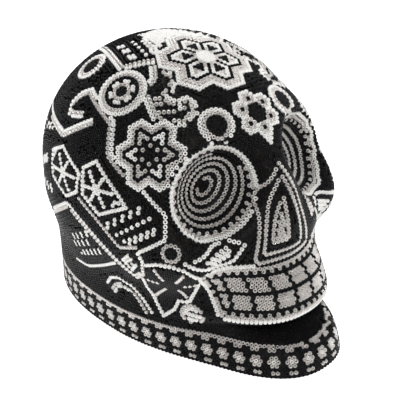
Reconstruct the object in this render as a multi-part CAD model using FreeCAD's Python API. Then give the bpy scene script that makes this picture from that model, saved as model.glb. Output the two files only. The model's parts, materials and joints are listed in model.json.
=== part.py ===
"""Beaded skull: a hollow papier-mache skull, a coat of beeswax and a skin of glass seed beads.

Millimetres, +Z up, the face looks along -Y, the skull stands on the plane Z = 0 and X = 0 is its
plane of symmetry. "Right" and "left" are the skull's own, so its right side is at -X.

The skull's form is one smooth function, skull_depth(), built from a few ellipsoids and ovals that
run into each other. Its layers are that form at different depths. The bead skin is then divided
into the motifs that the bead worker lays one after another.
"""
import FreeCAD, Part
import math
import os

# ---- driving dimensions -------------------------------------------------------------------------

BEAD_HEIGHT = 1.3         # a size 11/0 seed bead standing on its end
WAX_THICKNESS = 1.2       # the wax under the beads
PAPER_THICKNESS = 4.0     # the papier-mache wall
FLOOR_THICKNESS = 4.0     # the closed underside
SEAM_STRIP_WIDTH = 18.0   # the paper strip glued inside over the joint of the two halves
SEAM_STRIP_THICKNESS = 0.8
JOINT_Y = 12.0            # the two halves meet in this plane

# Rounded masses of the skull: centre, then radii. Those with x > 0 have a twin at -x.
CRANIUM = ((0.0, 12.0, 76.5), (62.0, 66.0, 59.5))
BROW = ((0.0, -31.0, 77.0), (48.0, 24.0, 38.0))
CHEEKBONE = ((41.0, -23.0, 60.0), (16.0, 30.0, 19.0))
SNOUT = ((0.0, -38.0, 61.0), (29.0, 26.0, 31.0))
NOSE = ((0.0, -50.0, 71.0), (9.0, 16.5, 25.0))
EYE_SOCKET = ((29.0, -55.0, 87.0), (20.3, 23.0, 21.0))
EYE_SOCKET_LEAN = 0.25    # the sockets lean inwards towards the top

# Egg-shaped plans of the lower skull: centre y, half width, length in front and behind.
JAW_PLAN = (13.0, 50.0, 69.0, 70.0)
MOUTH_PLAN = (-6.0, 42.0, 74.4, 60.0)
BASE_PLAN = (8.0, 41.5, 97.5, 78.0)
JAW_TOP = 62.0
MOUTH_TOP = 51.0
MOUTH_BOTTOM = 22.0
BASE_TOP = 17.0
MOUTH_TAPER = 0.20        # the teeth lean back by this much per mm of height
BASE_TAPER = 0.12         # the base band leans in by this much per mm of height
PLAN_POWER = 2.3          # 2 is an ellipse, more is squarer

CORE = (0.0, 10.0, 72.0)  # in plain sight of the whole skin, with the axis straight below it
SIDE_SPANS = 24           # spline spans across a side patch
FRONT_SPANS = 44          # spline spans across the front and the back patch
HEIGHT_SPANS = 46         # spline spans from the floor to the edge of the top patch


# Round motifs on the middle line: name, centre on the skin, radius.
MIDDLE_DISCS = (
    ("crown_flower_beads", (0.0, -13.0, 131.5), 19.5),
    ("brow_flower_beads", (0.0, -45.0, 113.5), 8.5),
    ("nape_star_beads", (0.0, 77.5, 84.0), 22.0),
)
# Round motifs of the right side, each with a twin on the left.
SIDE_DISCS = (
    ("brow_ring_beads", (-20.0, -40.5, 113.5), 8.0),
    ("temple_star_beads", (-45.5, -25.0, 102.5), 16.5),
    ("target_ring_beads", (-38.0, 0.0, 122.0), 10.5),
    ("cheek_disc_beads", (-39.5, -40.5, 26.0), 6.0),
    ("cheek_circle_beads", (-52.0, -44.5, 64.5), 4.5),
    ("cheek_flower_beads", (-48.0, -38.5, 42.0), 10.5),
    ("jaw_arch_beads", (-49.0, -7.0, 27.0), 10.5),
    ("back_ring_beads", (-43.0, 56.0, 92.0), 9.5),
)
# Other motifs of the right side: centre, then corners measured across and up from it.
SIDE_PANELS = (
    ("cheek_leaf_beads", (-38.0, -55.5, 62.5),
     ((-15.0, -1.0), (-8.0, 2.5), (3.0, 7.5), (15.0, 3.5), (6.0, -5.0), (-6.0, -5.0))),
    ("volute_beads", (-26.0, -18.0, 122.5),
     ((-6.0, 15.0), (-9.5, -3.0), (-8.0, -12.0), (8.0, -13.0), (13.0, -6.0), (3.0, 4.0), (3.0, 15.0))),
    ("side_panel_beads", (-60.5, 4.0, 84.0),
     ((-34.0, 6.0), (-8.0, 34.0), (6.0, 30.0), (10.0, 15.0), (28.0, 2.0), (46.0, -5.0),
      (47.0, -14.0), (30.0, -22.0), (8.0, -42.0), (-10.0, -52.0), (-34.0, -30.0))),
)
CROWN_PANEL = (("woven_panel_beads", (0.0, 16.0, 135.8),
                ((-31.0, -10.0), (-7.0, -11.0), (7.0, -11.0), (31.0, -10.0), (28.0, 8.0), (-28.0, 8.0))),)

EYE_MOTIF_CENTRE = (-28.0, -48.0, 86.0)
EYE_RIM_RADII = (20.6, 23.2)      # across and up, out to the white ring
EYE_BOWL_RADII = (15.0, 15.0)
EYE_MOTIF_LEAN = 42.0             # degrees
NOSE_OUTLINE = ((-20.0, 54.5), (20.0, 54.5), (4.0, 93.0), (-4.0, 93.0))   # x, z
NOSE_TIP_Z = 98.0
MOUTH_ANGLE = 34.0                # degrees from the middle line to the corners
MOUTH_Z = (24.0, 52.0)
MOUTH_BORDER = 3.2                # width of the border round the teeth
TOOTH_STEP = 7.0                  # degrees
TOOTH_ANGLE = 5.2                 # degrees
TEETH_PER_SIDE = 4                # and one in the middle
UPPER_TEETH_Z = (40.3, 46.7)
LOWER_TEETH_Z = (31.0, 37.4)
BASE_BAND_TOP = 15.0
GROOVE_ANGLE = 44.0               # the plain groove between mouth and base band
FAR = 150.0                       # well outside the skull


# ---- the form -----------------------------------------------------------------------------------

def blend_max(a, b, radius):
    """The larger of a and b, with the corner between them rounded."""
    overlap = max(radius - abs(a - b), 0.0)
    return max(a, b) + overlap * overlap / (4.0 * radius)


def blend_min(a, b, radius):
    """The smaller of a and b, with the corner between them rounded."""
    return -blend_max(-a, -b, radius)


def ellipsoid(x, y, z, mass):
    """About the distance outside an ellipsoid."""
    centre, radii = mass
    u = (x - centre[0]) / radii[0]
    v = (y - centre[1]) / radii[1]
    w = (z - centre[2]) / radii[2]
    reach = math.sqrt(u * u + v * v + w * w)
    slope = math.sqrt((u / radii[0]) ** 2 + (v / radii[1]) ** 2 + (w / radii[2]) ** 2)
    return (reach - 1.0) * reach / max(slope, 1e-6)


def plan_oval(x, y, plan):
    """About the distance outside an upright egg-shaped wall."""
    centre_y, half_width, front, back = plan
    u = abs(x) / half_width
    v = max((centre_y - y) / front, (y - centre_y) / back)
    reach = (u ** PLAN_POWER + v ** PLAN_POWER + 1e-12) ** (1.0 / PLAN_POWER)
    return (reach - 1.0) * half_width


def skull_depth(x, y, z):
    """Below zero inside the skull, zero on its surface, above zero outside."""
    side = math.sqrt(x * x + 0.01)
    jaw = blend_max(plan_oval(side, y, JAW_PLAN), z - JAW_TOP, 10.0)
    mouth = plan_oval(side, y, MOUTH_PLAN) + MOUTH_TAPER * (z - MOUTH_BOTTOM)
    mouth = blend_max(mouth, z - MOUTH_TOP, 12.0)
    mouth = blend_max(mouth, MOUTH_BOTTOM - z, 5.0)
    base = plan_oval(side, y, BASE_PLAN) + BASE_TAPER * z
    base = blend_max(base, z - BASE_TOP, 8.0)
    depth = blend_min(ellipsoid(side, y, z, CRANIUM), ellipsoid(side, y, z, BROW), 16.0)
    depth = blend_min(depth, ellipsoid(side, y, z, CHEEKBONE), 12.0)
    depth = blend_min(depth, ellipsoid(side, y, z, SNOUT), 12.0)
    depth = blend_min(depth, ellipsoid(side, y, z, NOSE), 6.0)
    depth = blend_min(depth, jaw, 16.0)
    depth = blend_min(depth, mouth, 6.0)
    depth = blend_min(depth, base, 9.0)
    leaning_side = side + EYE_SOCKET_LEAN * (z - EYE_SOCKET[0][2])
    return blend_max(depth, -ellipsoid(leaning_side, y, z, EYE_SOCKET), 3.0)


def skin_point(origin, direction, level):
    """Where a ray from inside leaves the form, at a depth of -level under its surface."""
    near, far = 4.0, 140.0
    for _ in range(22):
        reach = 0.5 * (near + far)
        x = origin[0] + direction[0] * reach
        y = origin[1] + direction[1] * reach
        z = origin[2] + direction[2] * reach
        if skull_depth(x, y, z) < level:
            near = reach
        else:
            far = reach
    return FreeCAD.Vector(x, y, z)


# ---- patches and closed bodies ------------------------------------------------------------------

def greville(spans):
    """Where the poles of a clamped cubic spline belong, as fractions of its length."""
    knots = [0.0] * 3 + [float(i) for i in range(spans + 1)] + [float(spans)] * 3
    return [sum(knots[i + 1:i + 4]) / 3.0 / spans for i in range(spans + 3)]


def side_ray(quarter, across, up):
    """A ray of the front, left, back or right patch (quarter 0 to 3); across and up run 0 to 1.

    The lower half of a patch looks out level from the axis under the core, the upper half from
    the core itself.
    """
    angle = math.radians(90.0 * across - 45.0)
    turn = math.radians(90.0 * quarter)
    flat_x, flat_y = math.tan(angle), -1.0
    climb = max(2.0 * up - 1.0, 0.0)
    rise = math.tan(math.radians(45.0 * climb))
    direction = FreeCAD.Vector(flat_x * math.cos(turn) - flat_y * math.sin(turn),
                               flat_x * math.sin(turn) + flat_y * math.cos(turn), rise)
    direction.normalize()
    height = CORE[2] * min(2.0 * up, 1.0)
    return (CORE[0], CORE[1], height), direction


def top_ray(across, along):
    """A ray of the top patch; across runs from -X to +X and along from the front to the back."""
    x = math.tan(math.radians(90.0 * across - 45.0))
    y = math.tan(math.radians(90.0 * along - 45.0))
    direction = FreeCAD.Vector(x, y, 1.0)
    direction.normalize()
    return CORE, direction


def patch(ray, spans_u, spans_v, level):
    """A cubic spline face through the rays' ends."""
    poles = [[skin_point(*ray(u, v), level) for v in greville(spans_v)] for u in greville(spans_u)]
    surface = Part.BSplineSurface()
    surface.buildFromPolesMultsKnots(
        poles,
        [4] + [1] * (spans_u - 1) + [4], [4] + [1] * (spans_v - 1) + [4],
        [float(i) for i in range(spans_u + 1)], [float(i) for i in range(spans_v + 1)],
        False, False, 3, 3)
    return surface.toShape()


def closed_body(level):
    """The whole form at one depth, closed by a flat underside at Z = 0."""
    faces = []
    for quarter in range(4):
        spans = FRONT_SPANS if quarter % 2 == 0 else SIDE_SPANS
        faces.append(patch(lambda u, v, q=quarter: side_ray(q, u, v), spans, HEIGHT_SPANS, level))
    faces.append(patch(top_ray, FRONT_SPANS, SIDE_SPANS, level))
    floor_edges = [edge for face in faces[:4] for edge in face.Edges
                   if edge.BoundBox.ZMax < 0.01]
    faces.append(Part.Face(Part.Wire(Part.__sortEdges__(floor_edges))))
    shell = Part.makeShell(faces)
    shell.sewShape()
    return Part.Solid(shell)


# ---- cutters for the motifs, each one widening outwards from the core ---------------------------

def mirrored(shape):
    """The twin of a shape on the other side of the middle plane."""
    return shape.mirror(FreeCAD.Vector(0, 0, 0), FreeCAD.Vector(1, 0, 0))


def motif_frame(centre):
    """The start of a motif's ray, the ray's direction and its across and up directions."""
    start = FreeCAD.Vector(CORE[0], CORE[1], min(centre[2], CORE[2]))
    ray = FreeCAD.Vector(*centre) - start
    across = FreeCAD.Vector(0, 0, 1).cross(ray)
    if across.Length < 1e-3 or abs(centre[0]) < 1e-6 and centre[2] > 120.0:
        across = FreeCAD.Vector(1, 0, 0)
    across.normalize()
    up = ray.cross(across)
    up.normalize()
    return start, ray, across, up


def disc_cutter(centre, radius):
    """A cone from the core that cuts a round motif."""
    start, ray, _, _ = motif_frame(centre)
    near, far = 0.6, 1.3
    return Part.makeCone(radius * near, radius * far, ray.Length * (far - near),
                         start + ray * near, ray)


def panel_cutter(centre, corners):
    """A pyramid from the core that cuts a motif with straight sides."""
    start, ray, across, up = motif_frame(centre)
    wires = []
    for scale in (0.5, 1.4):
        points = [start + (ray + across * a + up * b) * scale for a, b in corners]
        wires.append(Part.makePolygon(points + points[:1]))
    return Part.makeLoft(wires, True, True)


def oval_cutter(centre, radii, lean):
    """A leaning oval cone from the core."""
    start, ray, across, up = motif_frame(centre)
    angle = math.radians(lean)
    long_way = up * math.cos(angle) + across * math.sin(angle)
    short_way = across * math.cos(angle) - up * math.sin(angle)
    wires = []
    for scale in (0.3, 1.6):
        curve = Part.BSplineCurve()
        steps = 16
        points = []
        for i in range(steps):
            turn = 2.0 * math.pi * i / steps
            offset = short_way * (radii[0] * math.cos(turn)) + long_way * (radii[1] * math.sin(turn))
            points.append(start + (ray + offset) * scale)
        curve.interpolate(points, PeriodicFlag=True)
        wires.append(Part.Wire(curve.toShape()))
    return Part.makeLoft(wires, True, True)


def band_cutter(first_angle, last_angle, low, high):
    """A wedge around the core's axis, between two heights; angles are from straight ahead."""
    corners = [FreeCAD.Vector(CORE[0], CORE[1], low)]
    for angle in (first_angle, 0.5 * (first_angle + last_angle), last_angle):
        turn = math.radians(angle)
        corners.append(FreeCAD.Vector(CORE[0] + FAR * math.sin(turn), CORE[1] - FAR * math.cos(turn), low))
    face = Part.Face(Part.makePolygon(corners + corners[:1]))
    return face.extrude(FreeCAD.Vector(0, 0, high - low))


def teeth_cutter(low, high):
    """One wedge for each tooth of a row."""
    teeth = []
    for number in range(-TEETH_PER_SIDE, TEETH_PER_SIDE + 1):
        middle = number * TOOTH_STEP
        teeth.append(band_cutter(middle - 0.5 * TOOTH_ANGLE, middle + 0.5 * TOOTH_ANGLE, low, high))
    return Part.makeCompound(teeth)


def nose_cutter():
    """A prism along Y with a rounded tip."""
    (left, low), (right, _), (tip_right, shoulder), (tip_left, _) = NOSE_OUTLINE
    y = -34.0
    start = FreeCAD.Vector(tip_right, y, shoulder)
    middle = FreeCAD.Vector(0.0, y, NOSE_TIP_Z)
    end = FreeCAD.Vector(tip_left, y, shoulder)
    bottom_left = FreeCAD.Vector(left, y, low)
    bottom_right = FreeCAD.Vector(right, y, low)
    edges = [Part.makeLine(bottom_left, bottom_right), Part.makeLine(bottom_right, start),
             Part.Arc(start, middle, end).toShape(), Part.makeLine(end, bottom_left)]
    return Part.Face(Part.Wire(edges)).extrude(FreeCAD.Vector(0, -FAR, 0))


def block(low_corner, high_corner):
    """A box between two corners."""
    size = [high - low for low, high in zip(low_corner, high_corner)]
    return Part.makeBox(*size, FreeCAD.Vector(*low_corner))


# ---- the layers ---------------------------------------------------------------------------------

def papier_mache_parts(outside, hollow, strip_hollow):
    """The two moulded halves and the strip glued inside over their joint."""
    front_space = block((-FAR, -FAR, -1.0), (FAR, JOINT_Y, FAR))
    above_floor = block((-FAR, -FAR, FLOOR_THICKNESS), (FAR, FAR, FAR))
    wall = outside.cut(hollow.common(above_floor))
    half_strip = 0.5 * SEAM_STRIP_WIDTH
    strip_space = block((-FAR, JOINT_Y - half_strip, FLOOR_THICKNESS), (FAR, JOINT_Y + half_strip, FAR))
    return {
        "papier_mache_front_half": wall.common(front_space),
        "papier_mache_back_half": wall.cut(front_space),
        "paper_seam_strip": hollow.cut(strip_hollow).common(strip_space),
    }


def motif_cutters():
    """Every motif's name and cutter, in the order in which they take their share of the skin."""
    cutters = []
    rim = oval_cutter(EYE_MOTIF_CENTRE, EYE_RIM_RADII, EYE_MOTIF_LEAN)
    bowl = oval_cutter(EYE_MOTIF_CENTRE, EYE_BOWL_RADII, EYE_MOTIF_LEAN)
    cutters += [("right_eye_bowl_beads", bowl), ("left_eye_bowl_beads", mirrored(bowl)),
                ("right_eye_rim_beads", rim), ("left_eye_rim_beads", mirrored(rim)),
                ("nose_beads", nose_cutter()),
                ("upper_teeth_beads", teeth_cutter(*UPPER_TEETH_Z)),
                ("lower_teeth_beads", teeth_cutter(*LOWER_TEETH_Z))]
    border_angle = math.degrees(MOUTH_BORDER / 75.0)
    inside = MOUTH_ANGLE - border_angle
    low, high = MOUTH_Z
    cutters.append(("mouth_ground_beads", band_cutter(-inside, inside, low + MOUTH_BORDER,
                                                      high - MOUTH_BORDER)))
    cutters.append(("mouth_border_beads", band_cutter(-MOUTH_ANGLE, MOUTH_ANGLE, low, high)))
    cutters.append(("chin_groove_beads", band_cutter(-GROOVE_ANGLE, GROOVE_ANGLE, BASE_BAND_TOP, low)))
    cutters.append(("base_band_beads", block((-FAR, -FAR, -1.0), (FAR, FAR, BASE_BAND_TOP))))
    for name, centre, radius in MIDDLE_DISCS:
        cutters.append((name, disc_cutter(centre, radius)))
    for name, centre, radius in SIDE_DISCS:
        cone = disc_cutter(centre, radius)
        cutters += [("right_" + name, cone), ("left_" + name, mirrored(cone))]
    for name, centre, corners in CROWN_PANEL:
        cutters.append((name, panel_cutter(centre, corners)))
    for name, centre, corners in SIDE_PANELS:
        pyramid = panel_cutter(centre, corners)
        cutters += [("right_" + name, pyramid), ("left_" + name, mirrored(pyramid))]
    cutters.append(("face_ground_beads", block((-FAR, -FAR, -1.0), (FAR, JOINT_Y, FAR))))
    return cutters


def bead_parts(skin):
    """The skin shared out among the motifs; what is left over is the black ground of the back."""
    parts = {}
    rest = skin
    for name, cutter in motif_cutters():
        piece = rest.common(cutter)
        rest = rest.cut(cutter)
        parts[name] = piece
    parts["back_ground_beads"] = rest
    return parts


def only_solids(shape, smallest=1.0):
    """A shape's solids without crumbs, as one solid or a group."""
    solids = [solid for solid in shape.Solids if solid.Volume > smallest]
    return solids[0] if len(solids) == 1 else Part.makeCompound(solids)


bead_tops = closed_body(0.0)
wax_top = closed_body(-BEAD_HEIGHT)
paper_top = closed_body(-BEAD_HEIGHT - WAX_THICKNESS)
inside_level = -BEAD_HEIGHT - WAX_THICKNESS - PAPER_THICKNESS
hollow_space = closed_body(inside_level)
strip_inside = closed_body(inside_level - SEAM_STRIP_THICKNESS)

nodes = papier_mache_parts(paper_top, hollow_space, strip_inside)
nodes["beeswax_coat"] = wax_top.cut(paper_top)
nodes.update(bead_parts(bead_tops.cut(wax_top)))

os.makedirs("parts", exist_ok=True)
for node_name, node_shape in nodes.items():
    solid = only_solids(node_shape)
    solid.exportStep("parts/" + node_name + ".step")
    print(node_name, len(solid.Solids), "solids", round(solid.Volume), "mm3", "valid", solid.isValid())
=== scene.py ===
"""Looks of the beaded skull: every glass bead on its own, pressed into the wax in rows.

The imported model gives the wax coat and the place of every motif. This script lays the beads on
the wax motif by motif, grows rows of black beads outwards from them until the skull is covered,
and builds each motif's beads as meshes. Metres throughout; a motif's own plan is in beads.
"""
import bpy
import json
import math
import random
from bisect import bisect_right
from mathutils import Vector, Matrix
from mathutils.bvhtree import BVHTree
from mathutils.kdtree import KDTree


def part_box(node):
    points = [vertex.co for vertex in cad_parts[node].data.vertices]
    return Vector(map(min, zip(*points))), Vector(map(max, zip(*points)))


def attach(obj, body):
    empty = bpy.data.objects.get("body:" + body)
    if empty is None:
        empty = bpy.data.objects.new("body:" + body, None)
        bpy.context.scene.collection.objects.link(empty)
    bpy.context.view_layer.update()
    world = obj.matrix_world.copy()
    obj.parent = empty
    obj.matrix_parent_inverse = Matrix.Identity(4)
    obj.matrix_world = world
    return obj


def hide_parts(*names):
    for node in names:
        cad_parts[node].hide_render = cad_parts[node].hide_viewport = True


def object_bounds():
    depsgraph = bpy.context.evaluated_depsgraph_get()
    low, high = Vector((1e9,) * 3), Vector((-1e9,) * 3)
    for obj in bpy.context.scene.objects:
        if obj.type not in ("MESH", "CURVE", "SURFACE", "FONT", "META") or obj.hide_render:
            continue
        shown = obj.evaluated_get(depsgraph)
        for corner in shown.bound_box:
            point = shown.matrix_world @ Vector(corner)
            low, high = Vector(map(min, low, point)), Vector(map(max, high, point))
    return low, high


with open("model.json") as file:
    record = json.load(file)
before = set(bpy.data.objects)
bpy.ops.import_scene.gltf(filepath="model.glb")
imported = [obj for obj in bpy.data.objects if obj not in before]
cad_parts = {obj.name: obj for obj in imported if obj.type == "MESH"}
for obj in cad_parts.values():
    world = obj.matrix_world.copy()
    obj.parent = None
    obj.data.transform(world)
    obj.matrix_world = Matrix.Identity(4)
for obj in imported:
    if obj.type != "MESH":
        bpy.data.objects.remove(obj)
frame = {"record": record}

CAD_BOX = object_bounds()

# ---- sizes --------------------------------------------------------------------------------------

PITCH = 0.00202             # from one bead's middle to the next
NEST = math.sqrt(0.75)      # from one nested row of beads to the next, in pitches
ROW = PITCH * NEST
BEAD_RADIUS = 0.00100
BEAD_HEIGHT = 0.0013
BEAD_SECTION = ((0.84, 0.0), (1.0, 0.38), (0.94, 0.76), (0.76, 1.0), (0.58, 0.93), (0.46, 0.60),
                (0.46, 0.0))    # shares of the radius and of the height, outside foot to hole foot
SUNK = 0.00005              # how deep a bead sits in the wax
TOO_CLOSE = 0.84            # two beads' middles are no closer than this unless said, in pitches
BEAD_TILT = 0.05            # how far a bead may lean, as a share of upright
BEAD_SIZES = (0.965, 1.02)
SIDES = 10                  # flat sides round a bead
BEADS_PER_MESH = 1300
SKULL_RADIUS = 0.062        # about how round the skull is, to spread a flat plan over it
AXIS_Y = 0.010              # the upright line that nearly all of the skin can be seen from
AXIS_TOP = 0.072
OUTSIDE = 0.3               # from here a line to the axis comes in from outside the skull
STAND_OFF = 0.06            # how far above a plan a line to the wax starts
MIDDLE_RADIUS = 0.05        # where the wax is looked for when a line misses it
SAME_PLACE = 1e-4
TINY = 1e-7
RING_STEP = 0.88            # from one ring of a round motif to the next, in pitches
ROW_STEP = 0.90             # from one row of an outline to the next, in pitches
MIDDLE_STRIP = 0.005        # a motif this near the middle has its plan square to the skull
FINE_STEP = 0.2             # how finely an outline is followed, in pitches
SHORTEST_ROW = 2.0          # a row of an outline shorter than this is left out, in pitches
GRID_SPARE = 1.2            # a hexagonal grid reaches less far at its sides than at its corners
BAND_LEDGE = 2.4            # the wall of the foot band ends where it lies back more than this
CLIMB_STEP = 0.0002         # how finely the wall is climbed to space out level rows

GROWTH = ((0.90, 8), (0.82, 8), (0.78, 6))   # how close the ground beads start, rounds of easing
NEIGHBOUR = 1.25            # a ground bead nests against two beads no further apart than this
FIRST_LOOK = 0.7            # share of the closest gap tested before a place is put on the wax
GROUND_FOOT = 0.0009        # ground beads keep this far above the foot of the skull
EASED_FOOT = 0.001          # the same, while they are eased apart
CROWDED = 1.12              # beads nearer than this push each other apart, in pitches
EVEN_GAP = 1.05
PUSH = 0.35
SMOOTHING = 1.3             # how far round a bead its direction is averaged, in pitches
BOX_MARGIN = 0.003          # how far a bead may lie outside the box of its node

BLACK, WHITE, SILVER = "black_beads", "white_beads", "silver_beads"
random.seed(11)


# ---- the wax surface ----------------------------------------------------------------------------

def outer_surface(node):
    """A search tree of the outside faces of the wax coat."""
    mesh = bpy.data.objects[node].data
    mesh.calc_loop_triangles()
    points = [v.co.copy() for v in mesh.vertices]
    triangles = [tuple(t.vertices) for t in mesh.loop_triangles]
    everything = BVHTree.FromPolygons(points, triangles)
    outside = []
    for number, triangle in enumerate(triangles):
        middle = sum((points[i] for i in triangle), Vector()) / 3.0
        axis = Vector((0.0, AXIS_Y, min(middle.z, AXIS_TOP)))
        out = (middle - axis).normalized()
        hit = everything.ray_cast(axis + out * OUTSIDE, -out)
        if hit[2] is not None and (hit[0] - middle).length < SAME_PLACE:
            outside.append(triangle)
    return BVHTree.FromPolygons(points, outside)


WAX = outer_surface("beeswax_coat")


def on_wax(point):
    """The nearest place on the wax, and the way out of it."""
    place, normal, _, _ = WAX.find_nearest(point)
    axis = Vector((0.0, AXIS_Y, min(place.z, AXIS_TOP)))
    if normal.dot(place - axis) < 0.0:
        normal = -normal
    return place, normal


def seen_from_outside(point, direction):
    """Where a line that comes in against direction meets the wax."""
    place, normal, _, _ = WAX.ray_cast(point + direction * STAND_OFF, -direction)
    if place is None:
        return on_wax(point)
    if normal.dot(direction) < 0.0:
        normal = -normal
    return place, normal


def round_the_axis(angle, height):
    """The wax at an angle from straight ahead (radians, towards +X) and a height."""
    out = Vector((math.sin(angle), -math.cos(angle), 0.0))
    axis = Vector((0.0, AXIS_Y, height))
    place, normal, _, _ = WAX.ray_cast(axis + out * OUTSIDE, -out)
    if place is None:
        return on_wax(axis + out * MIDDLE_RADIUS)
    return place, normal if normal.dot(out) > 0.0 else -normal


# ---- the beads ----------------------------------------------------------------------------------

class Beads:
    """Every bead laid so far, in a grid of cells one pitch wide."""

    def __init__(self):
        self.places = []
        self.normals = []
        self.colours = []
        self.fixed = []
        self.cells = {}

    def cell(self, place):
        return (int(place.x // PITCH), int(place.y // PITCH), int(place.z // PITCH))

    def near(self, place, reach):
        """The numbers of the beads within reach, which is at most two pitches."""
        x, y, z = self.cell(place)
        found = []
        steps = (-1, 0, 1) if reach <= PITCH else (-2, -1, 0, 1, 2)
        for i in steps:
            for j in steps:
                for k in steps:
                    for number in self.cells.get((x + i, y + j, z + k), ()):
                        if (self.places[number] - place).length < reach:
                            found.append(number)
        return found

    def lay(self, place, normal, colour, fixed=True, closest=TOO_CLOSE):
        """Adds a bead unless it would run into another one."""
        if self.near(place, closest * PITCH):
            return None
        self.places.append(place)
        self.normals.append(normal)
        self.colours.append(colour)
        self.fixed.append(fixed)
        number = len(self.places) - 1
        self.cells.setdefault(self.cell(place), []).append(number)
        return number

    def regrid(self):
        self.cells = {}
        for number, place in enumerate(self.places):
            self.cells.setdefault(self.cell(place), []).append(number)


beads = Beads()


class Walk:
    """A line on the wax that can be followed by the distance gone along it."""

    def __init__(self, points):
        self.points = points
        self.lengths = [0.0]
        for a, b in zip(points, points[1:]):
            self.lengths.append(self.lengths[-1] + (b - a).length)
        self.total = self.lengths[-1]

    def at(self, along):
        segment = min(max(bisect_right(self.lengths, along) - 1, 0), len(self.points) - 2)
        width = max(self.lengths[segment + 1] - self.lengths[segment], TINY)
        share = min(max((along - self.lengths[segment]) / width, 0.0), 1.0)
        return on_wax(self.points[segment].lerp(self.points[segment + 1], share))


def lay_line(points, colour, closed=False, closest=TOO_CLOSE):
    """Beads at even steps along a line on the wax; colour is a name or a function of the step."""
    walk = Walk(points + points[:1] if closed else points)
    count = max(int(round(walk.total / PITCH)), 1)
    if callable(colour) and closed:
        count += count % 2
    for step in range(count if closed else count + 1):
        place, normal = walk.at(walk.total * step / count)
        beads.lay(place, normal, colour(step) if callable(colour) else colour, closest=closest)


def climb(angle, start, rows, ledge, apart=ROW):
    """Places up the wall at an angle round the skull, a row apart along the surface.

    The climb ends where a step of height takes a stride longer than ledge times the step, because
    the wall turns back there; the rows then sit closer.
    """
    height = start
    place, _ = round_the_axis(angle, height)
    path = [place]
    gone = [0.0]
    while gone[-1] < rows * apart:
        height += CLIMB_STEP
        place, _ = round_the_axis(angle, height)
        stride = (place - path[-1]).length
        if stride > ledge * CLIMB_STEP:
            break
        path.append(place)
        gone.append(gone[-1] + stride)
    step = min(apart, gone[-1] / (rows - 1))
    return [path[min(bisect_right(gone, row * step), len(path) - 1)] for row in range(rows)]


# ---- plans laid flat on a motif -----------------------------------------------------------------

class Plan:
    """A flat plan, measured in beads across and up, spread over the skull round a centre.

    Across points to the face on both sides of the skull, so the two sides mirror each other.
    """

    def __init__(self, centre, turn=0.0):
        axis = Vector((0.0, AXIS_Y, min(centre.z, AXIS_TOP)))
        self.centre, self.normal = seen_from_outside(centre, (centre - axis).normalized())
        out = (self.centre - axis).normalized()
        self.normal = (self.normal + out).normalized()
        across = Vector((0.0, 0.0, 1.0)).cross(out)
        if abs(centre.x) < MIDDLE_STRIP:
            across = Vector((1.0, 0.0, 0.0))
        across = (across - self.normal * across.dot(self.normal)).normalized()
        up = self.normal.cross(across)
        if self.centre.x > MIDDLE_STRIP:
            across = -across
        angle = math.radians(turn)
        self.across = across * math.cos(angle) + up * math.sin(angle)
        self.up = up * math.cos(angle) - across * math.sin(angle)

    def place(self, a, b):
        """The wax under a point of the plan, in beads."""
        reach = math.hypot(a, b) * PITCH
        bend = SKULL_RADIUS * math.sin(reach / SKULL_RADIUS) / reach if reach > TINY else 1.0
        point = self.centre + (self.across * a + self.up * b) * (PITCH * bend)
        return seen_from_outside(point, self.normal)


def hexagons(radius):
    """The points of a hexagonal grid: three-way coordinates, then across and up in beads."""
    for q in range(-radius, radius + 1):
        for r in range(-radius, radius + 1):
            s = -q - r
            if max(abs(q), abs(r), abs(s)) <= radius:
                yield q, r, s, q + 0.5 * r, r * NEST


def lay_hexagonal(plan, radius, colour_at, scale=1.0):
    """Beads on a hexagonal grid; colour_at(q, r, s, a, b) gives a colour, or None for no bead."""
    for q, r, s, a, b in hexagons(radius):
        colour = colour_at(q, r, s, a, b)
        if colour is not None:
            place, normal = plan.place(a * scale, b * scale)
            beads.lay(place, normal, colour)


def lay_rings(plan, colours, middle=(0.0, 0.0), stretch=1.0):
    """Rings of beads round a middle one; a colour may be a rule by the step round the ring."""
    for level, colour in enumerate(colours):
        count = max(6 * level, 1)
        for step in range(count):
            angle = 2.0 * math.pi * step / count
            a = middle[0] + RING_STEP * level * math.cos(angle) * stretch
            b = middle[1] + RING_STEP * level * math.sin(angle)
            place, normal = plan.place(a, b)
            beads.lay(place, normal, colour(step) if callable(colour) else colour)


def along_corners(corners, closed):
    """Closely spaced points of a line of corners, each with the line's direction."""
    loop = list(corners) + [corners[0]] if closed else list(corners)
    samples = []
    for (a, b), (next_a, next_b) in zip(loop, loop[1:]):
        length = math.hypot(next_a - a, next_b - b)
        steps = max(int(length / FINE_STEP), 1)
        for i in range(steps):
            share = i / steps
            samples.append((a + (next_a - a) * share, b + (next_b - b) * share,
                            (next_a - a) / length, (next_b - b) / length))
    if not closed:
        samples.append((*loop[-1], *samples[-1][2:]))
    return samples


def inset(corners, depth, closed):
    """The line that runs a depth to the left of a line of corners; inside it, if it is closed."""
    samples = along_corners(corners, closed)
    tree = KDTree(len(samples))
    area = 0.0
    for number, (a, b, along_a, along_b) in enumerate(samples):
        tree.insert(Vector((a, b, 0.0)), number)
        area += a * along_b - b * along_a
    tree.balance()
    side = -1.0 if closed and area < 0.0 else 1.0
    moved = []
    for a, b, along_a, along_b in samples:
        point = Vector((a - along_b * depth * side, b + along_a * depth * side, 0.0))
        if tree.find(point)[2] > depth - 0.5 * FINE_STEP:
            moved.append((point.x, point.y))
    return moved


def lay_outline(plan, corners, colours, closed=True):
    """Rows of beads along a line of corners, the further rows to the left of it or inside it."""
    for row, colour in enumerate(colours):
        line = inset(corners, row * ROW_STEP, closed)
        if len(line) > SHORTEST_ROW / FINE_STEP:
            lay_line([plan.place(a, b)[0] for a, b in line], colour, closed)


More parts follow.
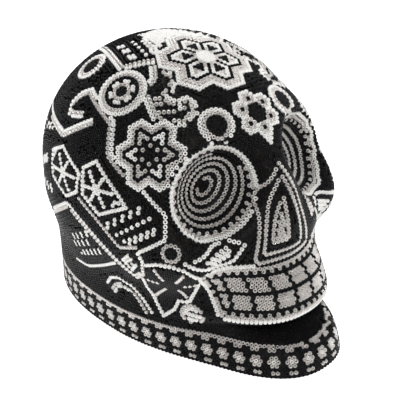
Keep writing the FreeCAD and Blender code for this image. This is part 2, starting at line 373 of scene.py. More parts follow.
def is_inside(corners, a, b):
    """Whether a point of a plan lies within a closed line of corners."""
    crossings = 0
    for (a0, b0), (a1, b1) in zip(corners, list(corners[1:]) + [corners[0]]):
        if (b0 > b) != (b1 > b) and a < a0 + (a1 - a0) * (b - b0) / (b1 - b0):
            crossings += 1
    return crossings % 2 == 1


def lay_filled(plan, corners, colour_at):
    """Beads on a hexagonal grid inside a line of corners; colour_at works from their middle."""
    middle_a = sum(a for a, _ in corners) / len(corners)
    middle_b = sum(b for _, b in corners) / len(corners)
    reach = max(math.hypot(a - middle_a, b - middle_b) for a, b in corners)
    for _, _, _, a, b in hexagons(int(reach * GRID_SPARE) + 1):
        if is_inside(corners, middle_a + a, middle_b + b):
            place, normal = plan.place(middle_a + a, middle_b + b)
            beads.lay(place, normal, colour_at(a, b))


def lay_block(plan, middle, columns, rows, lean, colour=WHITE):
    """A small block of nested beads, its rows leaning by an angle in degrees."""
    c, s = math.cos(math.radians(lean)), math.sin(math.radians(lean))
    for row in range(rows):
        for column in range(columns):
            nested = 0.5 * (row % 2) - 0.25 * (rows > 1)
            along = column - 0.5 * (columns - 1) + nested
            rise = (row - 0.5 * (rows - 1)) * NEST
            place, normal = plan.place(middle[0] + along * c - rise * s,
                                       middle[1] + along * s + rise * c)
            beads.lay(place, normal, colour)


def lay_block_row(plan, start, end, count, columns, rows, lean, colour=WHITE):
    """Even blocks of beads from one point of a plan to another."""
    for i in range(count):
        share = i / max(count - 1, 1)
        middle = (start[0] + (end[0] - start[0]) * share, start[1] + (end[1] - start[1]) * share)
        lay_block(plan, middle, columns, rows, lean, colour)


def star_level(q, r, s):
    """How far out a grid point lies, in rows of a six-pointed star."""
    return min(max(q, r, s), -min(q, r, s))


def hex_level(q, r, s):
    """How far out a grid point lies, in rows of a hexagon."""
    return max(abs(q), abs(r), abs(s))


def temple_star(q, r, s, a, b):
    """A six-pointed star: a white and a silver row round six short bars and six silver beads."""
    level, reach = star_level(q, r, s), hex_level(q, r, s)
    row = max(level - 6, reach - 9)
    if row > 0:
        return None
    if row == 0:
        return WHITE
    if row == -1:
        return SILVER
    if level == 3 and 4 <= reach <= 6:
        return WHITE if -min(q, r, s) > max(q, r, s) else SILVER
    return SILVER if reach == 2 and 0 in (q, r, s) else BLACK


def crown_flower(q, r, s, a, b):
    """Six petals and a white middle, inside a border of one white and two silver rows."""
    reach = hex_level(q, r, s)
    row = max(star_level(q, r, s) - 9, reach - 13)
    if row > 0:
        return None
    if row == 0:
        return WHITE
    if row in (-1, -2):
        return SILVER
    if row == -3:
        return BLACK
    if reach <= 2:
        return WHITE
    small = sorted((abs(q), abs(r), abs(s)))
    lean = small[1] - small[0]
    if reach + lean == 10 and reach >= 6 or reach - lean == 2 and reach == 5:
        return WHITE
    if reach + lean == 8 and reach >= 7 or reach - lean == 2 and reach in (3, 4):
        return SILVER
    return BLACK


LOBES = [(2, 2, -4), (-2, 4, -2), (-4, 2, 2), (-2, -2, 4), (2, -4, 2), (4, -2, -2)]


def brow_flower(q, r, s, a, b):
    """Six small round lobes about a black middle, and a short white tail below them."""
    lobe = min(hex_level(q - i, r - j, s - k) for i, j, k in LOBES)
    if (round(b / NEST), abs(a)) in ((-7, 0.5), (-8, 0.0)):
        return WHITE
    if lobe == 1:
        return SILVER
    if lobe == 2 and hex_level(q, r, s) >= 3:
        return WHITE
    return BLACK if lobe == 0 or hex_level(q, r, s) <= 2 else None


def pairs_between_corners(step):
    """Pairs of white beads round a ring, with a black one between."""
    return BLACK if step % 3 == 0 else WHITE


TARGET_RING = (BLACK, BLACK, SILVER, pairs_between_corners, BLACK, SILVER, WHITE)
BROW_RING = (BLACK, BLACK, BLACK, SILVER, WHITE)
BACK_RING = (WHITE, SILVER, BLACK, SILVER, WHITE)
CHEEK_DISC = (WHITE, WHITE, WHITE, SILVER)
CHEEK_CIRCLE = (BLACK, BLACK, SILVER)


def nape_star(q, r, s, a, b):
    """A star of two double borders, one inside the other."""
    row = max(star_level(q, r, s) - 7, hex_level(q, r, s) - 11)
    if row > 0:
        return None
    if row in (0, -4):
        return WHITE
    if row in (-1, -5):
        return SILVER
    return BLACK


# ---- motifs in rows -----------------------------------------------------------------------------

def middle_of(node):
    """The middle of a node's box."""
    low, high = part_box(node)
    return (Vector(low) + Vector(high)) * 0.5


BAND_ROWS = 9
BAND_REPEAT = 4             # beads from one small flower to the next
BAND_TURNS = 540            # climbs up the wall, all round
BAND_CLOSEST = 0.70


def base_band_colour(row, phase):
    """Small flowers with a pair of beads above and below each, under a silver line."""
    if row == BAND_ROWS - 1:
        return SILVER
    if row == 4 and phase == 0.0:
        return WHITE
    if row == 4 and phase in (1.0, 3.0):
        return SILVER
    if row in (1, 3, 5, 7) and phase in (0.5, 3.5):
        return SILVER
    return BLACK


def lay_base_band():
    """Level rows all round the foot, each with the same number of beads."""
    low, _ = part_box("base_band_beads")
    climbs = [climb(2.0 * math.pi * i / BAND_TURNS, low[2] + BEAD_RADIUS, BAND_ROWS, BAND_LEDGE)
              for i in range(BAND_TURNS + 1)]
    count = None
    for row in range(BAND_ROWS):
        walk = Walk([places[row] for places in climbs])
        if count is None:
            count = int(round(walk.total / PITCH / BAND_REPEAT)) * BAND_REPEAT
        shift = 0.5 * (row % 2)
        for number in range(count):
            place, normal = walk.at(walk.total * (number + shift) / count)
            colour = base_band_colour(row, (number + shift) % BAND_REPEAT)
            beads.lay(place, normal, colour, closest=BAND_CLOSEST)


MOUTH_ROWS = 17
MOUTH_LIFT = 0.0026         # the lowest row clears the rounded lower edge of the jaw
MOUTH_STEP = 0.94 * ROW
MOUTH_HALF_ANGLE = math.radians(38.0)
MOUTH_HALF_WIDTH = 22.7     # beads from the middle line to the corners of the border
MOUTH_TAPER = 0.06          # how much wider each row is than the one below it, in beads
MOUTH_COLUMNS = 24
MOUTH_TURNS = 180           # climbs up the wall, from corner to corner
MOUTH_CLOSEST = 0.72
COLUMN_STEP = 0.98          # from one bead of a row to the next, in pitches
TEETH_ROWS = (4, 5, 6, 7, 9, 10, 11, 12)
TEETH_REPEAT = 5
TOOTH_WIDTH = 3.5
TOOTH_SHIFT = 2.0
TEETH_MARGIN = 2.4          # no tooth is nearer a corner than this, in beads
CORNER_ROWS = 1.55          # beads taken up by the two upright rows at the corners
CORNER_STEP = 0.92          # from the white upright row to the silver one
LIP_FROM = 9                # nearer the middle than this the border has no white row on top


def mouth_colour(row, column, edge):
    """A double border, dotted rows and two rows of square teeth; edge counts in from the corners."""
    top = MOUTH_ROWS - 1
    if row in (0, top):
        return WHITE
    if row in (1, top - 1):
        return SILVER
    if row in (2, top - 2):
        return SILVER if math.floor(column) % 2 == 0 else BLACK
    in_tooth = (column + TOOTH_SHIFT) % TEETH_REPEAT <= TOOTH_WIDTH
    return SILVER if row in TEETH_ROWS and in_tooth and edge > TEETH_MARGIN else BLACK


def lay_mouth():
    """Level rows from corner to corner, then two upright rows at each corner."""
    low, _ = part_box("mouth_border_beads")
    climbs = [climb(MOUTH_HALF_ANGLE * (2.0 * i / MOUTH_TURNS - 1.0), low[2] + MOUTH_LIFT,
                    MOUTH_ROWS, math.inf, MOUTH_STEP)
              for i in range(MOUTH_TURNS + 1)]
    corners = {(side, depth): [] for side in (-1.0, 1.0) for depth in (0.0, CORNER_STEP)}
    for row in range(MOUTH_ROWS):
        walk = Walk([places[row] for places in climbs])
        shift = 0.5 * (row % 2)
        half_width = MOUTH_HALF_WIDTH + MOUTH_TAPER * (row - MOUTH_ROWS + 1)
        for (side, depth), points in corners.items():
            if depth < row < MOUTH_ROWS - depth:
                along = 0.5 * walk.total + side * (half_width - depth) * PITCH * COLUMN_STEP
                points.append(walk.at(along)[0])
        for number in range(-MOUTH_COLUMNS, MOUTH_COLUMNS + 1):
            column = number + shift
            edge = half_width - abs(column)
            along = 0.5 * walk.total + column * PITCH * COLUMN_STEP
            if edge < CORNER_ROWS or not 0.0 < along < walk.total:
                continue
            if row == MOUTH_ROWS - 1 and abs(column) <= LIP_FROM:
                continue
            place, normal = walk.at(along)
            beads.lay(place, normal, mouth_colour(row, column, edge), closest=MOUTH_CLOSEST)
    for (side, depth), points in corners.items():
        lay_line(points, SILVER if depth else WHITE)


EYE_RADII = (0.0198, 0.0228)    # across and along the leaning oval, to the white ring
EYE_LEAN = 43.0                 # degrees, the top towards the middle line
EYE_FRONT = Vector((0.0, -0.0025, 0.0006))   # from the middle of the rim's box to its plane
EYE_PIT_SHIFT = (0.0015, 0.0018, -0.0010)    # outward, back, up: where the rings close in
EYE_RING_STEP = 0.86
EYE_NARROWING = 1.25            # how much narrower the inner ovals get
EYE_MIDDLE = 0.06               # share of the oval that is a silver cluster
EYE_SMALLEST = 0.03
EYE_SHRINK = 0.002              # how finely the ovals are tried, as a share of the outermost
EYE_POINTS = 120
EYE_CLOSEST = 0.72


def dotted(step):
    """Silver and black in turn."""
    return SILVER if step % 2 == 0 else BLACK


def lay_eye(side, name):
    """Rings of beads down into the socket, closer together on the side that falls away."""
    axis = Vector((0.0, AXIS_Y, AXIS_TOP))
    rim_ray = middle_of(name + "_eye_rim_beads") + EYE_FRONT - axis
    pit_ray = rim_ray + Vector((side * EYE_PIT_SHIFT[0], EYE_PIT_SHIFT[1], EYE_PIT_SHIFT[2]))
    across = Vector((0.0, 0.0, 1.0)).cross(rim_ray).normalized()
    up = rim_ray.cross(across).normalized()
    lean = math.radians(EYE_LEAN) * -side
    long_way = up * math.cos(lean) + across * math.sin(lean)
    short_way = across * math.cos(lean) - up * math.sin(lean)

    def ring(size):
        points = []
        centre = pit_ray.lerp(rim_ray, size)
        for i in range(EYE_POINTS):
            turn = 2.0 * math.pi * i / EYE_POINTS
            offset = short_way * (math.cos(turn) * EYE_RADII[0] * size ** EYE_NARROWING)
            offset += long_way * (math.sin(turn) * EYE_RADII[1] * size)
            direction = (centre + offset).normalized()
            points.append(WAX.ray_cast(axis + direction * OUTSIDE, -direction)[0])
        return points

    outer_colours = [WHITE, SILVER, dotted]
    size = 1.0
    last = None
    number = 0
    while size > EYE_SMALLEST:
        points = ring(size)
        size -= EYE_SHRINK
        if last is not None:
            apart = sum((a - b).length for a, b in zip(points, last)) / len(points)
            if apart < EYE_RING_STEP * PITCH:
                continue
        last = points
        colour = BLACK if number % 2 else SILVER
        if number < len(outer_colours):
            colour = outer_colours[number]
        elif size < EYE_MIDDLE:
            colour = SILVER
        lay_line(points, colour, True, closest=EYE_CLOSEST)
        number += 1
    inward = pit_ray.normalized()
    place, normal, _, _ = WAX.ray_cast(axis + inward * OUTSIDE, -inward)
    beads.lay(place, normal, SILVER)


# Each loop: left and right at the foot and x at the top; foot and top above the foot of the node,
# as shares of its height; how late the left and the right side close in.
NOSE_LOOPS = (((-0.0180, 0.0125, -0.0008), (-0.06, 0.90), (2.1, 1.1)),
              ((-0.0144, 0.0058, -0.0018), (0.03, 0.80), (2.1, 1.1)),
              ((-0.0104, -0.0030, -0.0034), (0.15, 0.60), (1.8, 1.0)))
SOCKET_FROM = -0.0515       # further back than this, a place belongs to an eye socket
NOSE_FLANK = (((0.0090, 0.70), (0.0170, 0.20)), ((0.0112, 0.68), (0.0190, 0.22)))
NOSE_POINTS = 60            # points up each side of an arch
NOSE_FOOT_POINTS = 40
NOSE_FLANK_POINTS = 20
NOSE_FOOT = 0.05            # share of an arch's height that is its rounded foot
NOSE_CORNER = 0.06          # share of an arch's width that is rounded off at each side
NOSE_CLOSEST = 0.80
WEDGE_CLOSEST = 0.78
WEDGE_STEP = 0.9            # from one bead of the wedge to the next, in pitches
IN_FRONT = -0.15


def on_nose(x, z):
    """The wax straight behind a point in front of the face."""
    return WAX.ray_cast(Vector((x, IN_FRONT, z)), Vector((0.0, 1.0, 0.0)))[0]


def nose_sides(loop, share):
    """Left x, right x and height of a loop, a share of the way up it."""
    (left, right, tip), (foot, head), (late_left, late_right) = loop
    low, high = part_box("nose_beads")
    z = low[2] + (foot + (head - foot) * share) * (high[2] - low[2])
    return left + (tip - left) * share ** late_left, right + (tip - right) * share ** late_right, z


def lay_nose_loop(loop):
    """A tall arch with rounded feet on the front of the nose."""
    shares = [NOSE_FOOT + (1.0 - NOSE_FOOT) * i / NOSE_POINTS for i in range(NOSE_POINTS + 1)]
    sides = [nose_sides(loop, share) for share in shares]
    up = [on_nose(right, z) for _, right, z in sides]
    down = [on_nose(left, z) for left, _, z in reversed(sides)]
    left, right, foot = nose_sides(loop, 0.0)
    middle = 1.0 - 2.0 * NOSE_CORNER
    bottom = [on_nose(left + (right - left) * (NOSE_CORNER + middle * i / NOSE_FOOT_POINTS), foot)
              for i in range(NOSE_FOOT_POINTS + 1)]
    line = [place for place in bottom + up + down if place.y < SOCKET_FROM]
    lay_line(line, SILVER, True, closest=NOSE_CLOSEST)


def lay_nose():
    """Silver arches, the innermost filled as a wedge, and a silver strip down one flank."""
    low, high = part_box("nose_beads")
    tall = high[2] - low[2]
    for loop in NOSE_LOOPS:
        lay_nose_loop(loop)
    wedge = NOSE_LOOPS[-1]
    height = (wedge[1][1] - wedge[1][0]) * tall
    for row in range(1, int(height / ROW)):
        left, right, z = nose_sides(wedge, row * ROW / height)
        x = left + PITCH * (0.5 + 0.5 * (row % 2))
        while x < right:
            place, normal = on_wax(on_nose(x, z))
            beads.lay(place, normal, SILVER, closest=WEDGE_CLOSEST)
            x += WEDGE_STEP * PITCH
    for (x0, share0), (x1, share1) in NOSE_FLANK:
        points = []
        for i in range(NOSE_FLANK_POINTS + 1):
            share = share0 + (share1 - share0) * i / NOSE_FLANK_POINTS
            points.append(on_nose(x0 + (x1 - x0) * i / NOSE_FLANK_POINTS, low[2] + tall * share))
        lay_line(points, SILVER)


def plan_at(node, across=0.0, up=0.0):
    """A plan whose middle lies some beads from the middle of a motif."""
    return Plan(Plan(middle_of(node)).place(across, up)[0])


DOUBLE = (WHITE, SILVER)

# Scroll, side panel, cheek and woven panel. Corners are in beads, across and up from a middle.

VOLUTE_SHIFT = (0.57, 0.59)
VOLUTE_EDGE = ((-4.1, 7.1), (-3.8, 3.9), (-5.2, 2.3), (-5.7, 0.3), (-4.4, -3.5), (-3.2, -6.4),
               (0.0, -7.6), (3.5, -8.2), (4.5, -6.4), (6.0, -5.2), (5.2, -2.6), (3.5, -1.3),
               (2.0, -1.9), (2.2, -4.1))
VOLUTE_INNER = ((2.0, -2.2), (0.6, -1.9), (-0.9, -0.6), (0.6, 0.2), (0.9, 2.0), (2.9, 3.0),
                (2.6, 4.4), (0.0, 5.2), (-0.6, 6.0))
VOLUTE_RIBS = (((-3.9, -1.3), (-1.2, -1.3)), ((-2.8, -2.6), (0.2, -2.8)),
               ((-2.2, -4.6), (3.0, -4.8)))


def lay_volute(name):
    """A scroll with a double edge and three ribs."""
    plan = plan_at(name + "_volute_beads", *VOLUTE_SHIFT)
    lay_outline(plan, VOLUTE_EDGE, DOUBLE, closed=False)
    lay_outline(plan, VOLUTE_INNER, DOUBLE, closed=False)
    for rib in VOLUTE_RIBS:
        lay_outline(plan, rib, (SILVER,), closed=False)


PANEL_SHIFT = (-4.25, 0.06)
PANEL_LOWER = ((19.7, -11.3), (18.7, -16.0), (14.7, -18.7), (1.3, -8.7), (-4.7, -4.3),
               (-20.7, -14.0))
PANEL_UPPER = ((-3.5, 16.9), (-8.2, 16.0), (-9.4, 19.0), (-7.7, 21.7), (-4.7, 23.3), (-2.0, 22.0),
               (6.3, 18.0), (8.0, 11.3), (11.3, 9.0), (24.7, 1.3), (26.7, -4.3), (18.3, -9.0),
               (19.7, -11.3))
PANEL_BOXES = (((4.6, 9.0), (1.3, 6.8), (1.3, 0.8), (5.7, -2.9), (13.4, 0.6)),
               ((-6.7, 9.3), (-11.3, 7.3), (-10.7, 1.3), (-4.7, -1.7), (-0.7, 0.7), (0.0, 5.3)))
PANEL_SEAM = ((17.7, -7.7), (12.0, -9.3), (0.0, -0.7))
PANEL_PEAK = ((0.0, 17.0), (-8.0, 12.3), (-25.0, 16.0))
PANEL_STRIPE = ((-14.0, -28.0), (-6.7, -25.5), (10.7, -14.0))
PANEL_DIAMOND = ((14.7, -15.4), (17.0, -13.0), (14.7, -10.9), (12.3, -13.0))
# Rows of blocks: first block, last block, how many, columns and rows of each, lean in degrees.
PANEL_CORN = (((8.4, -4.8), (17.2, 0.9), 5, 1, 2, 32.0), ((9.9, -7.2), (20.7, -0.2), 8, 1, 1, 32.0),
              ((14.0, -7.6), (22.7, -2.9), 6, 1, 2, 32.0), ((-7.5, -14.5), (0.0, -10.0), 4, 1, 2, 32.0),
              ((-9.0, -17.8), (-1.0, -13.2), 4, 1, 2, 32.0),
              ((-8.0, -20.5), (3.0, -14.2), 6, 1, 2, 32.0))
PANEL_BACK = (((-19.0, 11.0), (-14.0, 12.0), 3, 1, 2, 10.0), ((-19.0, 2.0), (-15.0, 4.0), 3, 2, 2, 60.0),
              ((-19.0, -4.0), (-13.0, -3.0), 3, 2, 2, 60.0))
SPOKE_HALF_WIDTH = 0.45
PETAL_FROM = 0.9
PETAL_TO = 4.7


def off_spoke(a, b):
    """How far a point lies from the nearest of six spokes."""
    away = abs((math.degrees(math.atan2(b, a)) + 30.0) % 60.0 - 30.0)
    return math.hypot(a, b) * math.sin(math.radians(away))


def boxed_flower(a, b):
    """Six black petals between white spokes, on a white ground."""
    in_petals = PETAL_FROM < math.hypot(a, b) < PETAL_TO
    return BLACK if in_petals and off_spoke(a, b) > SPOKE_HALF_WIDTH else WHITE


def lay_side_panel(name):
    """Boxed flowers, a field of corn and blocks below a double line along the side."""
    plan = plan_at(name + "_side_panel_beads", *PANEL_SHIFT)
    lay_outline(plan, tuple(reversed(PANEL_UPPER)), DOUBLE, closed=False)
    lay_outline(plan, tuple(reversed(PANEL_LOWER)), (SILVER, WHITE), closed=False)
    for corners in PANEL_BOXES:
        lay_outline(plan, corners, (WHITE,))
        lay_filled(plan, corners, boxed_flower)
    lay_outline(plan, PANEL_SEAM, (SILVER,), closed=False)
    lay_outline(plan, PANEL_PEAK, DOUBLE, closed=False)
    for blocks in PANEL_CORN:
        lay_block_row(plan, *blocks)
    lay_outline(plan, PANEL_STRIPE, (WHITE, WHITE), closed=False)
    lay_outline(plan, PANEL_DIAMOND, DOUBLE)
    for blocks in PANEL_BACK:
        lay_block_row(plan, *blocks)


CHEEK_SHIFT = (0.66, 4.09)
CHEEK_DISC_AT = (3.7, -13.5)
LEAF_BLOCK = ((9.6, 4.3), 5, 3, 17.0)   # middle, columns, rows, lean in degrees
LEAF_EDGE = ((2.9, 5.6), (7.5, 2.3), (10.8, 2.0), (12.6, 2.3), (15.6, 6.0), (10.6, 6.7), (9.7, 6.3),
             (7.6, 6.4))
HALF_FLOWER = ((-3.3, 4.0), (0.0, 4.6), (2.9, 3.75), (4.8, 1.25), (5.0, -3.3), (4.6, -5.0),
               (2.9, -10.0), (0.4, -10.4), (-0.6, -13.3), (-3.5, -16.9), (-5.0, -13.75),
               (-5.8, -10.8), (-6.9, -8.3), (-7.3, -3.75), (-6.7, 0.4), (-5.8, 2.5))
HALF_FLOWER_MIDDLE = (-0.8, -3.2)
HALF_FLOWER_REACH = 14
SPOKE_FROM = 2.4
JAW_ARCH = ((-6.7, -17.5), (-8.75, -14.2), (-11.25, -11.25), (-15.0, -10.8), (-18.0, -13.3),
            (-20.0, -17.0))


def spoked(a, b):
    """Silver spokes on black, from some way off the middle."""
    on_spoke = off_spoke(a, b) < SPOKE_HALF_WIDTH
    return SILVER if math.hypot(a, b) > SPOKE_FROM and on_spoke else BLACK


def lay_cheek(name):
    """The circle, the disc by the mouth, the half flower, the leaf and the arch over the foot."""
    plan = plan_at(name + "_cheek_flower_beads", *CHEEK_SHIFT)
    lay_rings(Plan(middle_of(name + "_cheek_circle_beads")), CHEEK_CIRCLE)
    lay_rings(plan, CHEEK_DISC, CHEEK_DISC_AT)
    lay_outline(plan, HALF_FLOWER, (WHITE,))
    middle = HALF_FLOWER_MIDDLE
    shifted = [(a - middle[0], b - middle[1]) for a, b in HALF_FLOWER]
    for _, _, _, a, b in hexagons(HALF_FLOWER_REACH):
        if is_inside(shifted, a, b):
            place, normal = plan.place(a + middle[0], b + middle[1])
            beads.lay(place, normal, spoked(a, b))
    lay_outline(plan, LEAF_EDGE, (WHITE,))
    lay_block(plan, *LEAF_BLOCK)
    lay_outline(plan, JAW_ARCH, (WHITE, BLACK, SILVER, WHITE), closed=False)


WOVEN_SIDE = 0.018          # how far the plan of each half lies from the middle line
WOVEN_EDGE = ((-14.2, -3.4), (4.3, -6.0), (8.05, 0.4))
WOVEN_WHITE = ((8.5, 2.0), (6.0, 1.5), (-6.0, 4.5), (-9.0, 10.0), (2.0, 18.0), (5.0, 10.0), (8.0, 6.0))
WOVEN_DIAMOND = (4.2, 6.1)
WOVEN_DIAMOND_HALF = 1.8
WOVEN_BLOCKS = (((-4.3, -1.3), (2.6, -1.9), 3, 2, 2, -8.0), ((-3.6, 1.4), (4.5, 0.7), 5, 1, 1, -8.0),
                ((-1.3, 3.4), (3.6, 3.0), 4, 1, 2, -8.0))
WOVEN_RING_AT = (-6.0, -9.0)
WOVEN_RING_STRETCH = 1.1


def woven_white(a, b):
    """White, with a small black diamond."""
    middle_a = sum(corner[0] for corner in WOVEN_WHITE) / len(WOVEN_WHITE)
    middle_b = sum(corner[1] for corner in WOVEN_WHITE) / len(WOVEN_WHITE)
    off = abs(a + middle_a - WOVEN_DIAMOND[0]) + abs(b + middle_b - WOVEN_DIAMOND[1])
    return BLACK if off < WOVEN_DIAMOND_HALF else WHITE


def lay_woven_panel(side):
    """Rows of small blocks behind the crown, under a white field."""
    middle = middle_of("woven_panel_beads")
    plan = Plan(Vector((side * WOVEN_SIDE, middle.y, middle.z)))
    lay_outline(plan, WOVEN_EDGE, DOUBLE, closed=False)
    for blocks in WOVEN_BLOCKS:
        lay_block_row(plan, *blocks)
    lay_filled(plan, WOVEN_WHITE, woven_white)
    lay_rings(plan, BROW_RING, WOVEN_RING_AT, WOVEN_RING_STRETCH)


CROWN_SCALE = 0.92          # the crown flower's beads lie closer than a pitch
STAR_SCALE = 0.96
STAR_TURN = 30.0            # degrees that the temple star's grid is turned
CROWN_REACH, BROW_REACH, NAPE_REACH, STAR_REACH = 14, 9, 14, 10   # rows out from the middle


def lay_motifs():
    """Lays every motif; where two meet, the one laid first keeps its beads."""
    lay_base_band()
    lay_mouth()
    lay_nose()
    for side, name in ((-1.0, "right"), (1.0, "left")):
        lay_eye(side, name)
    lay_hexagonal(Plan(middle_of("crown_flower_beads")), CROWN_REACH, crown_flower, CROWN_SCALE)
    lay_hexagonal(Plan(middle_of("brow_flower_beads")), BROW_REACH, brow_flower)
    lay_hexagonal(Plan(middle_of("nape_star_beads")), NAPE_REACH, nape_star)
    for side, name in ((-1.0, "right"), (1.0, "left")):
        star_plan = Plan(middle_of(name + "_temple_star_beads"), STAR_TURN)
        lay_hexagonal(star_plan, STAR_REACH, temple_star, STAR_SCALE)
        lay_rings(Plan(middle_of(name + "_brow_ring_beads")), BROW_RING)
        lay_rings(Plan(middle_of(name + "_target_ring_beads")), TARGET_RING)
        lay_rings(Plan(middle_of(name + "_back_ring_beads")), BACK_RING)
        lay_volute(name)
        lay_side_panel(name)
        lay_cheek(name)
        lay_woven_panel(side)


# ---- the black ground ---------------------------------------------------------------------------

def grow(closest):
    """Lays black beads against pairs of neighbours until nothing more fits."""
    queue = list(range(len(beads.places)))
    head = 0
    lowest = CAD_BOX[0][2] + GROUND_FOOT
    while head < len(queue):
        number = queue[head]
        head += 1
        place = beads.places[number]
        normal = beads.normals[number]
        for other in beads.near(place, NEIGHBOUR * PITCH):
            if other == number:
                continue
            gap = beads.places[other] - place
            width = gap.length
            sideways = normal.cross(gap)
            if sideways.length < TINY:
                continue
            sideways.normalize()
            rise = math.sqrt(max(PITCH * PITCH - 0.25 * width * width, 0.0))
            for way in (rise, -rise):
                guess = place + gap * 0.5 + sideways * way
                if guess.z < lowest or beads.near(guess, FIRST_LOOK * closest * PITCH):
                    continue
                spot, out = on_wax(guess)
                if spot.z < lowest:
                    continue
                added = beads.lay(spot, out, BLACK, fixed=False, closest=closest)
                if added is not None:
                    queue.append(added)


def bead_tree():
    """A search tree of the beads laid so far."""
    tree = KDTree(len(beads.places))
    for number, place in enumerate(beads.places):
        tree.insert(place, number)
    tree.balance()
    return tree


def relax(rounds):
    """Evens out the free beads by pushing crowded ones apart."""
    for _ in range(rounds):
        tree = bead_tree()
        moved = []
        for number, place in enumerate(beads.places):
            if beads.fixed[number]:
                moved.append(None)
                continue
            push = Vector()
            for spot, other, apart in tree.find_range(place, CROWDED * PITCH):
                if other != number and apart > TINY:
                    push += (place - spot) * ((PITCH * EVEN_GAP - apart) / apart * PUSH)
            moved.append(place + push)
        for number, place in enumerate(moved):
            if place is not None:
                place.z = max(place.z, CAD_BOX[0][2] + EASED_FOOT)
                beads.places[number], beads.normals[number] = on_wax(place)
    beads.regrid()


def smooth_normals():
    """Each bead stands square to the wax around it, not to one small facet."""
    tree = bead_tree()
    smooth = []
    for place in beads.places:
        total = Vector()
        for _, other, _ in tree.find_range(place, SMOOTHING * PITCH):
            total += beads.normals[other]
        smooth.append(total.normalized())
    beads.normals = smooth


# ---- bead meshes --------------------------------------------------------------------------------

def build_piece(name, numbers, slot):
    """One mesh of many beads of one colour."""
    profile = [(radius * BEAD_RADIUS, height * BEAD_HEIGHT) for radius, height in BEAD_SECTION]
    circle = [(math.cos(2.0 * math.pi * i / SIDES), math.sin(2.0 * math.pi * i / SIDES))
              for i in range(SIDES)]
    vertices = []
    faces = []
    rows = len(profile)
    for number in numbers:
        normal = beads.normals[number]
        tilt = Vector((random.uniform(-1, 1), random.uniform(-1, 1), random.uniform(-1, 1)))
        up = (normal + tilt * BEAD_TILT).normalized()
        across = up.orthogonal().normalized()
        along = up.cross(across)
        size = random.uniform(*BEAD_SIZES)
        foot = beads.places[number] + up * (random.uniform(-0.5, 1.0) * SUNK - SUNK)
        first = len(vertices)
        for radius, height in profile:
            for c, s in circle:
                vertices.append(foot + (across * c + along * s) * (radius * size) + up * height)
        for i in range(rows):
            j = (i + 1) % rows
            for k in range(SIDES):
                m = (k + 1) % SIDES
                faces.append((first + i * SIDES + k, first + i * SIDES + m,
                              first + j * SIDES + m, first + j * SIDES + k))
    mesh = bpy.data.meshes.new(name)
    mesh.from_pydata(vertices, [], faces)
    mesh.validate()
    mesh.update()
    mesh.polygons.foreach_set("use_smooth", [True] * len(mesh.polygons))
    piece = bpy.data.objects.new(name, mesh)
    bpy.context.scene.collection.objects.link(piece)
    piece.data.materials.append(MATERIALS[slot])
    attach(piece, "root")
    return piece


# ---- materials ----------------------------------------------------------------------------------

GLASS_GRAIN = 420.0         # noise scale, for blotches about the size of a bead
GLASS_GLOSS = (0.6, 1.5)    # the least and the most of the given roughness
GLASS_DENT = 0.0002
COAT_DETAIL = 6.0
COAT_BUMP = 0.3
COAT_DENT = 0.0004


def glass_material(name, colour, roughness, metallic, shine, grain):
    """Glass beads: gloss and small dents come from noise, on the scale of one bead."""
    material = bpy.data.materials.new(name)
    material.use_nodes = True
    nodes, links = material.node_tree.nodes, material.node_tree.links
    shader = nodes["Principled BSDF"]
    shader.inputs["Base Color"].default_value = (*colour, 1.0)
    shader.inputs["Metallic"].default_value = metallic
    shader.inputs["Specular IOR Level"].default_value = shine
    place = nodes.new("ShaderNodeTexCoord")
    noise = nodes.new("ShaderNodeTexNoise")
    noise.inputs["Scale"].default_value = GLASS_GRAIN
    noise.inputs["Detail"].default_value = 2.0
    links.new(place.outputs["Object"], noise.inputs["Vector"])
    gloss = nodes.new("ShaderNodeMapRange")
    gloss.inputs["To Min"].default_value = roughness * GLASS_GLOSS[0]
    gloss.inputs["To Max"].default_value = roughness * GLASS_GLOSS[1]
    links.new(noise.outputs["Fac"], gloss.inputs["Value"])
    links.new(gloss.outputs["Result"], shader.inputs["Roughness"])
    bump = nodes.new("ShaderNodeBump")
    bump.inputs["Strength"].default_value = grain
    bump.inputs["Distance"].default_value = GLASS_DENT
    links.new(noise.outputs["Fac"], bump.inputs["Height"])
    links.new(bump.outputs["Normal"], shader.inputs["Normal"])
    return material


def plain_material(name, dark, light, scale, roughness, shine):
    """Wax and paper: two tones mixed by noise, with a matching bump."""
    material = bpy.data.materials.new(name)
    material.use_nodes = True
    nodes, links = material.node_tree.nodes, material.node_tree.links
    shader = nodes["Principled BSDF"]
    shader.inputs["Roughness"].default_value = roughness
    shader.inputs["Specular IOR Level"].default_value = shine
    place = nodes.new("ShaderNodeTexCoord")
    noise = nodes.new("ShaderNodeTexNoise")
    noise.inputs["Scale"].default_value = scale
    noise.inputs["Detail"].default_value = COAT_DETAIL
    links.new(place.outputs["Object"], noise.inputs["Vector"])
    mix = nodes.new("ShaderNodeMix")
    mix.data_type = "RGBA"
    mix.inputs["A"].default_value = (*dark, 1.0)
    mix.inputs["B"].default_value = (*light, 1.0)
    links.new(noise.outputs["Fac"], mix.inputs["Factor"])
    links.new(mix.outputs["Result"], shader.inputs["Base Color"])
    bump = nodes.new("ShaderNodeBump")
    bump.inputs["Strength"].default_value = COAT_BUMP
    bump.inputs["Distance"].default_value = COAT_DENT
    links.new(noise.outputs["Fac"], bump.inputs["Height"])
    links.new(bump.outputs["Normal"], shader.inputs["Normal"])
    return material


